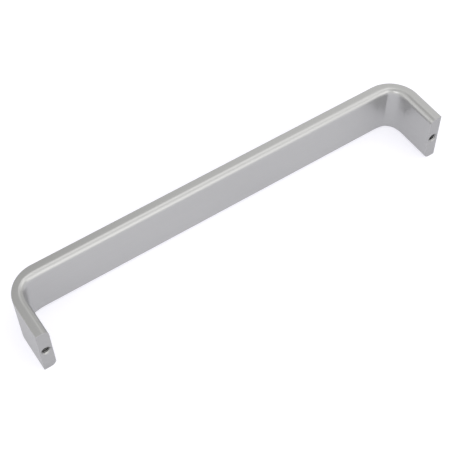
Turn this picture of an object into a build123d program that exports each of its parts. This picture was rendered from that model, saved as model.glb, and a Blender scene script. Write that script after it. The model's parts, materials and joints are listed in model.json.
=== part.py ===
from build123d import *
import os
from math import radians, tan

os.makedirs("parts", exist_ok=True)

# Cabinet handle: one flat aluminium bar, bent into a U and tapped at both ends.
# X runs along the handle and Z up. The mounting plane is Y = 0, with the grip on the -Y side.
# The origin lies midway between the two screw holes, on the mounting plane.

# Handle as a whole
hole_spacing = 192.0
projection = 30.5

# The bar thins a little where it is bent, so the two faces have radii of their own
bend_inside_radius = 7.0
bend_outside_radius = 14.0

# Section of the extruded bar
bar_thick = 5.5
bar_high = 24.5
inner_edge_radius = 2.7
outer_edge_radius = 0.25

# Sawn end face of each leg
end_edge_chamfer = 0.15

# Blind hole for an M4 screw in each end face, drilled to the size before tapping
tap_drill = 3.3
hole_deep = 13.0
drill_point_angle = 118.0
mouth_wide = 4.2
mouth_angle = 90.0

# The legs stand on the holes' axes, and their two faces and the grip's two faces follow from there
leg_x = hole_spacing / 2
leg_inside_x = leg_x - bar_thick / 2
leg_outside_x = leg_x + bar_thick / 2
grip_inside_y = bar_thick - projection

# Depths inside each hole
mouth_deep = (mouth_wide - tap_drill) / 2 / tan(radians(mouth_angle / 2))
point_deep = tap_drill / 2 / tan(radians(drill_point_angle / 2))


def lies_over(plan_line, edge):
    """Whether an edge of the top or bottom face runs over a line of the plan."""
    middle = edge @ 0.5
    return plan_line.distance_to((middle.X, middle.Y, 0)) < bar_thick / 4


with BuildPart() as handle_bar:
    # The U seen from above: the outer face, then back along the face that the fingers meet
    with BuildSketch(Plane.XY):
        with BuildLine():
            outside_line = FilletPolyline(
                (leg_outside_x, 0),
                (leg_outside_x, -projection),
                (-leg_outside_x, -projection),
                (-leg_outside_x, 0),
                radius=bend_outside_radius,
            )
            inside_line = FilletPolyline(
                (-leg_inside_x, 0),
                (-leg_inside_x, grip_inside_y),
                (leg_inside_x, grip_inside_y),
                (leg_inside_x, 0),
                radius=bend_inside_radius,
            )
            Line((-leg_outside_x, 0), (-leg_inside_x, 0))
            Line((leg_inside_x, 0), (leg_outside_x, 0))
        make_face()
    extrude(amount=bar_high / 2, both=True)

    # Crisp long edges outside, and rounded ones on the side that the fingers meet
    for plan_line, edge_radius in ((inside_line, inner_edge_radius), (outside_line, outer_edge_radius)):
        level_edges = handle_bar.faces().filter_by(Axis.Z).edges()
        fillet(level_edges.filter_by(lambda edge: lies_over(plan_line, edge)), edge_radius)

    # The burr is taken off round both sawn end faces
    chamfer(handle_bar.edges().group_by(Axis.Y)[-1], end_edge_chamfer)

    # Each hole: countersunk mouth, straight wall and the cone that the drill leaves
    for hole_x in (-leg_x, leg_x):
        with BuildSketch(Plane.XY):
            with BuildLine():
                Polyline(
                    (hole_x, 0),
                    (hole_x + mouth_wide / 2, 0),
                    (hole_x + tap_drill / 2, -mouth_deep),
                    (hole_x + tap_drill / 2, -hole_deep),
                    (hole_x, -hole_deep - point_deep),
                    close=True,
                )
            make_face()
        revolve(axis=Axis((hole_x, 0, 0), (0, 1, 0)), mode=Mode.SUBTRACT)

handle_bar.part.label = "handle_bar"
export_step(handle_bar.part, "parts/handle_bar.step")
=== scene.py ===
import bisect
import json
import math

import bmesh
import bpy
from mathutils import Matrix, Quaternion, Vector


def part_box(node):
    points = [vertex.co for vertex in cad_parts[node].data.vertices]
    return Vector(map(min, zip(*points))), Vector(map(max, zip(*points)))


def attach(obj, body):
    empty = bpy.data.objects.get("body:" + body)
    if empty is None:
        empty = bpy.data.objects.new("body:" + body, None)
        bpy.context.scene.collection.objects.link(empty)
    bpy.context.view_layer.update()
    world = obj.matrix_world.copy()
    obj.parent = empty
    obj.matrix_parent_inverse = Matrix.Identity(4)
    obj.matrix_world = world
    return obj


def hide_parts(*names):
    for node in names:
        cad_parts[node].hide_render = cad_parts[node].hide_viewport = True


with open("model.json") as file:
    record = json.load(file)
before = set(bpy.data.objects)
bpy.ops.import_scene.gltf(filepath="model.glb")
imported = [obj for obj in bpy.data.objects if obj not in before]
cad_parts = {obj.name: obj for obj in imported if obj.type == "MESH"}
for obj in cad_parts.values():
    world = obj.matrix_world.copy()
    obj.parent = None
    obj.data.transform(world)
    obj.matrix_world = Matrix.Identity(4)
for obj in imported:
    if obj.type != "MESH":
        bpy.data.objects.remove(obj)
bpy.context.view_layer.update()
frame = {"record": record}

# Bar of the handle
# One flat aluminium extrusion, bent cold round a former into a U. The outer face has crisp long edges, and
# the long edges that the fingers meet are rounded. Both ends are sawn square and the burr is taken off.
MM = 0.001
bar_low, bar_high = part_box("handle_bar")
mounts = {mount["name"]: mount for mount in frame["record"]["mounts"]}
hole_x = mounts["right_screw_hole"]["pos_m"][0]
thick = 2 * (bar_high.x - hole_x)
tall = bar_high.z - bar_low.z
bend_outside = 14 * MM
bend_steps = 40
inner_edge_round = 2.7 * MM
inner_edge_steps = 14
outer_edge_round = 0.25 * MM
outer_edge_steps = 4
burr_break = 0.04 * MM
bend_x = bar_high.x - bend_outside
bend_y = bar_low.y + bend_outside

bar = bmesh.new()


def along_straight(edges, step):
    """Draws the section's outline along a straight stretch, and gives the outline at its far end."""
    drawn = bmesh.ops.extrude_edge_only(bar, edges=edges)["geom"]
    far = [part for part in drawn if isinstance(part, bmesh.types.BMVert)]
    bmesh.ops.translate(bar, verts=far, vec=step)
    drawn_edges = [part for part in drawn if isinstance(part, bmesh.types.BMEdge)]
    return [edge for edge in drawn_edges if all(vert in far for vert in edge.verts)]


def round_bend(edges, centre):
    """Turns the section's outline a quarter turn round an upright former."""
    outline = edges + list(dict.fromkeys(vert for edge in edges for vert in edge.verts))
    drawn = bmesh.ops.spin(bar, geom=outline, cent=centre, axis=(0, 0, 1), angle=-math.pi / 2,
                           steps=bend_steps, use_duplicate=False)["geom_last"]
    return [part for part in drawn if isinstance(part, bmesh.types.BMEdge)]


# The section starts as an upright rectangle at the end of one leg
upright = Matrix.Translation((hole_x, -burr_break, 0)) @ Matrix.Rotation(math.pi / 2, 4, "X")
section_place = upright @ Matrix.Diagonal((thick, tall, 1, 1))
bmesh.ops.create_grid(bar, x_segments=1, y_segments=1, size=0.5, matrix=section_place)
near_face = 0.45 * thick
for corner_side, corner_round, corner_steps in ((-1, inner_edge_round, inner_edge_steps),
                                                (1, outer_edge_round, outer_edge_steps)):
    corners = [v for v in bar.verts if (v.co.x - hole_x) * corner_side > near_face]
    bmesh.ops.bevel(bar, geom=corners, offset=corner_round, offset_type="OFFSET", segments=corner_steps,
                    profile=0.5, affect="VERTICES", material=-1)
bmesh.ops.delete(bar, geom=bar.faces[:], context="FACES_ONLY")
first_outline = bar.edges[:]
leg_step = Vector((0, bend_y + burr_break, 0))
outline = along_straight(first_outline, leg_step)
outline = round_bend(outline, (bend_x, bend_y, 0))
outline = along_straight(outline, (-2 * bend_x, 0, 0))
outline = round_bend(outline, (-bend_x, bend_y, 0))
last_outline = along_straight(outline, -leg_step)

# The bar thins across each bend. Its inner face leaves the grip nearly flat, breaks at a soft crease where
# the former's edge pressed on it, goes round in a tight curve and straightens out slowly along the leg.
lead_run, lead_from, lead_to = 4.540 * MM, 2, 9
tight_run, tight_from, tight_to = 5.716 * MM, 25, 76
slow_run, slow_from, slow_to = 3.837 * MM, 76, 90
face_steps = 50
face_place = Vector((0, bend_outside - thick, 0))
bend_face = [(0, face_place.length)]
for run, turn_from, turn_to in ((lead_run, lead_from, lead_to), (tight_run, tight_from, tight_to),
                                (slow_run, slow_from, slow_to)):
    for face_step in range(face_steps):
        turn = math.radians(turn_from + (turn_to - turn_from) * (face_step + 0.5) / face_steps)
        face_place += Vector((math.cos(turn), -math.sin(turn), 0)) * (run / face_steps)
        bend_face.append((math.atan2(face_place.x, face_place.y), face_place.length))

# Each point of the bar also keeps its place along the bar and across it, for the marks on the metal
bend_middle = bend_outside - thick / 2
seam_slack = 0.001 * MM
bar_place = bar.verts.layers.float_vector.new("bar_place")
for vert in bar.verts:
    side = math.copysign(1, vert.co.x)
    spoke = Vector((vert.co.x - side * bend_x, vert.co.y - bend_y, 0))
    if spoke.y > seam_slack:
        along = bend_x + bend_middle * math.pi / 2 + spoke.y
        depth = bend_outside - side * spoke.x
    elif side * spoke.x < -seam_slack:
        along = side * vert.co.x
        depth = bend_outside + spoke.y
    else:
        way = math.atan2(side * spoke.x, -spoke.y)
        along = bend_x + bend_middle * way
        depth = bend_outside - spoke.length
        after = min(max(1, bisect.bisect(bend_face, (way, 0))), len(bend_face) - 1)
        (way_a, face_a), (way_b, face_b) = bend_face[after - 1:after + 1]
        face_here = face_a + (face_b - face_a) * (way - way_a) / (way_b - way_a)
        vert.co += spoke.normalized() * (depth / thick) * (face_here - bend_outside + thick)
    vert[bar_place] = (side * along, depth - vert.co.z, 0)

# Tapped holes
# Each leg is drilled from its end face with a pointed drill, countersunk a little and tapped M4. The thread
# runs out before the bottom of the hole. The countersink and the first 0.6 mm of the thread have the dull
# finish of the end face, and the faces deeper in the hole get the dark thread tone, which is painted shade.
thread_pitch = 0.7 * MM
thread_root = 2.0 * MM
thread_crest = 1.65 * MM
crest_flat = 0.25
root_flat = 0.125
mouth_radius = 2.3 * MM
# Faces of the hole deeper than this take the dark thread tone, painted shade; the faces above it keep the
# end face's finish
painted_shade_below = 0.6 * MM
thread_start = 0.1 * MM
thread_end = 11.5 * MM
thread_fade = 0.8 * MM
hole_deep = 13 * MM
drill_point = 1.0 * MM
turn_steps = 48
spare_turns = 3
turns_above_mouth = 1.5
flank_cuts = 2
left_thread_turn = 300
right_thread_turn = 60
merge_gap = 0.0005 * MM


def tapped_hole():
    """One hole about the Y axis, open at Y = 0, as a mesh of its own."""
    hole = bmesh.new()
    flank = (1 - crest_flat - root_flat) / 2
    profile = ((thread_crest, 0), (thread_crest, crest_flat), (thread_root, crest_flat + flank),
               (thread_root, 1 - flank), (thread_crest, 1))
    points = []
    for radius, share in profile:
        points.append(hole.verts.new((radius, thread_pitch * (turns_above_mouth - share), 0)))
    edges = [hole.edges.new(pair) for pair in zip(points, points[1:])]
    bmesh.ops.subdivide_edges(hole, edges=edges, cuts=flank_cuts)
    turns = math.ceil(thread_end / thread_pitch) + spare_turns
    bmesh.ops.spin(hole, geom=hole.verts[:] + hole.edges[:], cent=(0, 0, 0), axis=(0, 1, 0),
                   dvec=(0, -thread_pitch / turn_steps, 0), angle=math.tau * turns,
                   steps=turn_steps * turns, use_duplicate=False)
    bmesh.ops.remove_doubles(hole, verts=hole.verts[:], dist=merge_gap)
    rims = []
    for depth, side in ((thread_start, 1), (thread_end, -1)):
        cut = bmesh.ops.bisect_plane(hole, geom=hole.verts[:] + hole.edges[:] + hole.faces[:],
                                     dist=merge_gap, plane_co=(0, -depth, 0), plane_no=(0, side, 0),
                                     clear_outer=True)["geom_cut"]
        rims.append([part for part in cut if isinstance(part, bmesh.types.BMEdge)])
    for vert in hole.verts:
        depth = -vert.co.y
        radius = math.hypot(vert.co.x, vert.co.z)
        fade = min(1, max(0, (thread_end - depth) / thread_fade))
        cut_radius = thread_crest + (radius - thread_crest) * fade
        cut_radius = max(cut_radius, mouth_radius - depth)
        vert.co.x *= cut_radius / radius
        vert.co.z *= cut_radius / radius
    rim = bmesh.ops.extrude_edge_only(hole, edges=rims[0])["geom"]
    for vert in rim:
        if isinstance(vert, bmesh.types.BMVert):
            radius = math.hypot(vert.co.x, vert.co.z)
            vert.co = (vert.co.x * mouth_radius / radius, 0, vert.co.z * mouth_radius / radius)
    wall = bmesh.ops.extrude_edge_only(hole, edges=rims[1])["geom"]
    lower = [part for part in wall if isinstance(part, bmesh.types.BMVert)]
    bmesh.ops.translate(hole, verts=lower, vec=(0, thread_end - hole_deep, 0))
    wall_edges = [part for part in wall if isinstance(part, bmesh.types.BMEdge)]
    bottom_edges = [edge for edge in wall_edges if all(vert in lower for vert in edge.verts)]
    bottom = bmesh.ops.contextual_create(hole, geom=bottom_edges)["faces"]
    tip = bmesh.ops.poke(hole, faces=bottom)["verts"]
    bmesh.ops.translate(hole, verts=tip, vec=(0, -drill_point, 0))
    mesh = bpy.data.meshes.new("tapped_hole")
    hole.to_mesh(mesh)
    hole.free()
    return mesh


end_finish = 1
painted_shade_finish = 2
hole_mesh = tapped_hole()
for side, ring, thread_turn in ((1, first_outline, right_thread_turn),
                                (-1, last_outline, left_thread_turn)):
    cap = bmesh.ops.contextual_create(bar, geom=ring)["faces"]
    cap[0].normal_update()
    if cap[0].normal.y < 0:
        bmesh.ops.reverse_faces(bar, faces=cap)
    bmesh.ops.inset_region(bar, faces=cap, thickness=burr_break, depth=burr_break,
                           use_even_offset=True)
    cap_edges = list(cap[0].edges)
    bmesh.ops.delete(bar, geom=cap, context="FACES_ONLY")
    known = set(bar.verts)
    bar.from_mesh(hole_mesh)
    added = [v for v in bar.verts if v not in known]
    # Faces near the mouth keep the end face's finish; the deeper faces get the dark thread tone, painted
    # shade in the hole
    for face in {face for vert in added for face in vert.link_faces}:
        above_painted_shade = all(vert.co.y > -painted_shade_below for vert in face.verts)
        face.material_index = end_finish if above_painted_shade else painted_shade_finish
    turned = Matrix.Rotation(math.radians(thread_turn), 3, "Y")
    bmesh.ops.rotate(bar, verts=added, cent=(0, 0, 0), matrix=turned)
    bmesh.ops.translate(bar, verts=added, vec=(side * hole_x, 0, 0))
    mouth_edges = [e for e in bar.edges if e.is_boundary and e.verts[0] in added and e.verts[1] in added]
    end_face = bmesh.ops.triangle_fill(bar, edges=cap_edges + mouth_edges, use_beauty=True,
                                       normal=(0, 1, 0))
    for part in end_face["geom"]:
        if isinstance(part, bmesh.types.BMFace):
            part.material_index = end_finish
bmesh.ops.remove_doubles(bar, verts=bar.verts[:], dist=merge_gap)
bmesh.ops.recalc_face_normals(bar, faces=bar.faces[:])
for face in bar.faces:
    face.smooth = True

crisp_edge_angle = 35
bar_mesh = bpy.data.meshes.new("anodised_bar")
bar.to_mesh(bar_mesh)
bar.free()
bpy.data.meshes.remove(hole_mesh)
bar_mesh.set_sharp_from_angle(angle=math.radians(crisp_edge_angle))
handle = bpy.data.objects.new("anodised_bar", bar_mesh)
bpy.context.scene.collection.objects.link(handle)
weighted = handle.modifiers.new("true_flats", "WEIGHTED_NORMAL")
weighted.mode = "FACE_AREA"
weighted.keep_sharp = True

# Finishes of the metal
# The bar was etched and clear anodised, so it is a little dull, and mirrors less than a polished face does
# where it is seen at a low angle. Tool marks and the grain of the etching vary its tone and its gloss.
etched_edge = (0.8, 0.8, 0.8, 1)
grain_scale = 3000.0
grain_share = 0.6
tool_share = 0.4


def aluminium(name, metallic, dark, light, smooth, rough, relief):
    """Aluminium whose tone, gloss and relief follow its marks, from 0 to 1, which are joined on after."""
    metal = bpy.data.materials.new(name)
    metal.use_nodes = True
    nodes = metal.node_tree.nodes
    join = metal.node_tree.links.new
    shader = nodes["Principled BSDF"]
    shader.inputs["Metallic"].default_value = metallic
    shader.inputs["Specular Tint"].default_value = etched_edge
    marks = nodes.new("ShaderNodeMath")
    marks.operation = "MULTIPLY_ADD"
    tone = nodes.new("ShaderNodeMix")
    tone.data_type = "RGBA"
    tone.inputs[6].default_value = dark
    tone.inputs[7].default_value = light
    join(marks.outputs[0], tone.inputs[0])
    join(tone.outputs[2], shader.inputs["Base Color"])
    matt = nodes.new("ShaderNodeMapRange")
    matt.inputs["To Min"].default_value = smooth
    matt.inputs["To Max"].default_value = rough
    join(marks.outputs[0], matt.inputs["Value"])
    join(matt.outputs["Result"], shader.inputs["Roughness"])
    height = nodes.new("ShaderNodeBump")
    height.inputs["Distance"].default_value = relief
    join(marks.outputs[0], height.inputs["Height"])
    join(height.outputs["Normal"], shader.inputs["Normal"])
    bar_mesh.materials.append(metal)
    return nodes, join, marks


def etched(nodes, join, marks, place, tool_marks):
    """Lays the grain of the etching over the tool marks."""
    etching = nodes.new("ShaderNodeTexNoise")
    etching.inputs["Scale"].default_value = grain_scale
    etching.inputs["Detail"].default_value = 4.0
    join(place, etching.inputs["Vector"])
    grain = nodes.new("ShaderNodeMath")
    grain.operation = "MULTIPLY"
    grain.inputs[1].default_value = grain_share
    join(etching.outputs[0], grain.inputs[0])
    marks.inputs[1].default_value = tool_share
    join(tool_marks, marks.inputs[0])
    join(grain.outputs[0], marks.inputs[2])


# The long faces: lines that the die left along the bar. They follow it round its bends.
die_line_scale = (30, 1500, 1)
nodes, join, marks = aluminium("satin_anodised_aluminium", metallic=0.75,
                               dark=(0.442, 0.442, 0.445, 1), light=(0.524, 0.524, 0.527, 1),
                               smooth=0.27, rough=0.33, relief=0.004 * MM)
place = nodes.new("ShaderNodeAttribute")
place.attribute_name = "bar_place"
drawn = nodes.new("ShaderNodeMapping")
drawn.inputs["Scale"].default_value = die_line_scale
join(place.outputs["Vector"], drawn.inputs["Vector"])
die_lines = nodes.new("ShaderNodeTexNoise")
die_lines.inputs["Scale"].default_value = 1.0
die_lines.inputs["Detail"].default_value = 3.0
join(drawn.outputs["Vector"], die_lines.inputs["Vector"])
etched(nodes, join, marks, place.outputs["Vector"], die_lines.outputs[0])

# The two end faces: shallow arcs of the saw blade
blade_away = 300 * MM
saw_arc_scale = 700.0
nodes, join, marks = aluminium("sawn_end", metallic=0.75,
                               dark=(0.405, 0.405, 0.41, 1), light=(0.445, 0.445, 0.45, 1),
                               smooth=0.32, rough=0.4, relief=0.004 * MM)
place = nodes.new("ShaderNodeTexCoord")
blade_centre = nodes.new("ShaderNodeMapping")
blade_centre.inputs["Location"].default_value = (0, 0, blade_away)
join(place.outputs["Object"], blade_centre.inputs["Vector"])
saw_arcs = nodes.new("ShaderNodeTexWave")
saw_arcs.wave_type = "RINGS"
saw_arcs.rings_direction = "Y"
saw_arcs.inputs["Scale"].default_value = saw_arc_scale
saw_arcs.inputs["Distortion"].default_value = 3.0
saw_arcs.inputs["Detail"].default_value = 2.0
join(blade_centre.outputs["Vector"], saw_arcs.inputs["Vector"])
etched(nodes, join, marks, place.outputs["Object"], saw_arcs.outputs["Fac"])

# The threads: cut by the tap, with fine tearing from the tool. Their tone is painted much darker than the
# faces, as painted shade deep in the hole.
tearing_scale = 2200.0
nodes, join, marks = aluminium("cut_thread_painted_shade", metallic=1.0,
                               dark=(0.1, 0.1, 0.1, 1), light=(0.34, 0.34, 0.34, 1),
                               smooth=0.22, rough=0.38, relief=0.006 * MM)
place = nodes.new("ShaderNodeTexCoord")
tearing = nodes.new("ShaderNodeTexNoise")
tearing.inputs["Scale"].default_value = tearing_scale
tearing.inputs["Detail"].default_value = 5.0
join(place.outputs["Object"], tearing.inputs["Vector"])
marks.inputs[1].default_value = 1.0
join(tearing.outputs[0], marks.inputs[0])

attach(handle, "root")
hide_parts("handle_bar")

# Floor
# A sheet of white paper under the handle. It glows a little for the camera and in the metal, so that it
# reads as white where nothing shades it.
paper_reach = 4
paper_white = (0.45, 0.449, 0.459, 1)
paper_glow = 0.572
paper_glow_tint = (1, 0.994, 1.072, 1)
paper_shown = 1.12
ground = bmesh.new()
under_bar = Matrix.Translation((0, 0, bar_low.z))
bmesh.ops.create_grid(ground, x_segments=1, y_segments=1, size=paper_reach, matrix=under_bar)
ground_mesh = bpy.data.meshes.new("floor")
ground.to_mesh(ground_mesh)
ground.free()
floor = bpy.data.objects.new("floor", ground_mesh)
bpy.context.scene.collection.objects.link(floor)
paper = bpy.data.materials.new("white_paper")
paper.use_nodes = True
paper_shader = paper.node_tree.nodes["Principled BSDF"]
paper_shader.inputs["Base Color"].default_value = paper_white
paper_shader.inputs["Roughness"].default_value = 1.0
paper_shader.inputs["Specular IOR Level"].default_value = 0.0
paper_shader.inputs["Emission Color"].default_value = paper_glow_tint


def worked_out(tree, operation, first, second=0):
    """Puts one or two values or outputs through a Math node, and gives what comes out."""
    maths = tree.nodes.new("ShaderNodeMath")
    maths.operation = operation
    for socket, value in zip(maths.inputs, (first, second)):
        if isinstance(value, bpy.types.NodeSocket):
            tree.links.new(value, socket)
        else:
            socket.default_value = value
    return maths.outputs[0]


def seen_or_mirrored(tree, camera_share):
    """Is camera_share for the camera, 1 in metal and glass, and 0 for the light that falls on things."""
    ray = tree.nodes.new("ShaderNodeLightPath").outputs
    share = worked_out(tree, "MULTIPLY", ray["Is Camera Ray"], camera_share)
    share = worked_out(tree, "MAXIMUM", share, ray["Is Glossy Ray"])
    return worked_out(tree, "MAXIMUM", share, ray["Is Transmission Ray"])


paper_seen = seen_or_mirrored(paper.node_tree, paper_shown)
glow = worked_out(paper.node_tree, "MULTIPLY", paper_seen, paper_glow)
paper.node_tree.links.new(glow, paper_shader.inputs["Emission Strength"])
ground_mesh.materials.append(paper)

# Studio
# A tent of white cloth with soft lamps behind it: three overhead, three on the side that the feet point to,
# one beyond each end of the handle and three weaker ones behind the grip.
cloth_fill = 0.25
cloth_tint = (1, 0.998, 0.973, 1)
tent = bpy.data.worlds.new("cloth_tent")
bpy.context.scene.world = tent
tent.use_nodes = True
tent_tree = tent.node_tree
cloth = tent_tree.nodes["Background"]
cloth.inputs["Color"].default_value = cloth_tint
direction = tent_tree.nodes.new("ShaderNodeTexCoord").outputs["Generated"]


def faded(amount, full_until, gone_from, strength):
    """Is strength while the amount is below full_until, and falls softly to nothing at gone_from."""
    fade = tent_tree.nodes.new("ShaderNodeMapRange")
    fade.interpolation_type = "SMOOTHSTEP"
    fade.inputs["From Min"].default_value = full_until
    fade.inputs["From Max"].default_value = gone_from
    fade.inputs["To Min"].default_value = strength
    fade.inputs["To Max"].default_value = 0.0
    tent_tree.links.new(amount, fade.inputs["Value"])
    return fade.outputs["Result"]


def soft_lamp(light_so_far, name, strength, round_handle, above_floor, core, rim):
    """Adds one lamp's patch on the cloth, even for core degrees round its middle and faded over rim more."""
    across = math.radians(round_handle)
    up = math.radians(above_floor)
    facing = tent_tree.nodes.new("ShaderNodeVectorMath")
    facing.name = name
    facing.operation = "DOT_PRODUCT"
    level = math.cos(up)
    facing.inputs[1].default_value = (level * math.cos(across), level * math.sin(across), math.sin(up))
    tent_tree.links.new(direction, facing.inputs[0])
    angle = worked_out(tent_tree, "ARCCOSINE", facing.outputs["Value"])
    patch = faded(angle, math.radians(core), math.radians(core + rim), strength)
    return worked_out(tent_tree, "ADD", light_so_far, patch)


cloth_light = soft_lamp(cloth_fill, "overhead", 0.41, 0, 90, 14, 26)
cloth_light = soft_lamp(cloth_light, "overhead_by_left_end", 0.82, 182, 74, 6, 18)
cloth_light = soft_lamp(cloth_light, "overhead_by_feet", 0.28, 95, 72, 6, 18)
cloth_light = soft_lamp(cloth_light, "wide_by_feet", 1.66, 101, 23, 4, 58)
cloth_light = soft_lamp(cloth_light, "small_by_feet", 2.1, 33, 26, 5, 20)
cloth_light = soft_lamp(cloth_light, "left_by_feet", 1.1, 165, 40, 8, 22)
cloth_light = soft_lamp(cloth_light, "right_end", 0.79, 346, 31, 26, 20)
cloth_light = soft_lamp(cloth_light, "left_end", 0.35, 200, 38, 32, 20)
cloth_light = soft_lamp(cloth_light, "behind_left_end", 0.5, 221, 52, 5, 16)
cloth_light = soft_lamp(cloth_light, "behind_grip", 0.22, 284, 58, 5, 10)
cloth_light = soft_lamp(cloth_light, "low_behind_grip", 0.3, 328, 21, 6, 16)

# The lowest cloth joins the paper without an edge: it reads white to the camera and in the metal
skirt_white = 1.03
skirt_top = 10
skirt_fade = 8
upward = tent_tree.nodes.new("ShaderNodeSeparateXYZ")
tent_tree.links.new(direction, upward.inputs[0])
skirt_low = math.sin(math.radians(skirt_top))
skirt_high = math.sin(math.radians(skirt_top + skirt_fade))
skirt = faded(upward.outputs["Z"], skirt_low, skirt_high, skirt_white)
skirt_seen = worked_out(tent_tree, "MULTIPLY", skirt, seen_or_mirrored(tent_tree, 1))
cloth_light = worked_out(tent_tree, "MAXIMUM", cloth_light, skirt_seen)
tent_tree.links.new(cloth_light, cloth.inputs["Strength"])

# Camera
# It stands on the side that the feet point to and looks down on the handle. Turns are in degrees, and the
# lens is in millimetres.
view_azimuth = 147.09
view_elevation = 53.45
view_distance = 449.6 * MM
view_roll = -1.0
view_aim = Vector((6.07 * MM, -10.86 * MM, 0))
view_lens = 86.34
azimuth = math.radians(view_azimuth)
elevation = math.radians(view_elevation)
level_share = math.cos(elevation)
back = Vector((math.sin(azimuth) * level_share, -math.cos(azimuth) * level_share, math.sin(elevation)))
camera_data = bpy.data.cameras.new("camera")
camera_data.lens = view_lens
camera = bpy.data.objects.new("camera", camera_data)
bpy.context.scene.collection.objects.link(camera)
camera.location = view_aim + back * view_distance
camera.rotation_mode = "QUATERNION"
rolled = Quaternion((0, 0, 1), math.radians(view_roll))
camera.rotation_quaternion = (-back).to_track_quat("-Z", "Y") @ rolled
bpy.context.scene.camera = camera
bpy.context.scene.view_settings.view_transform = "Standard"
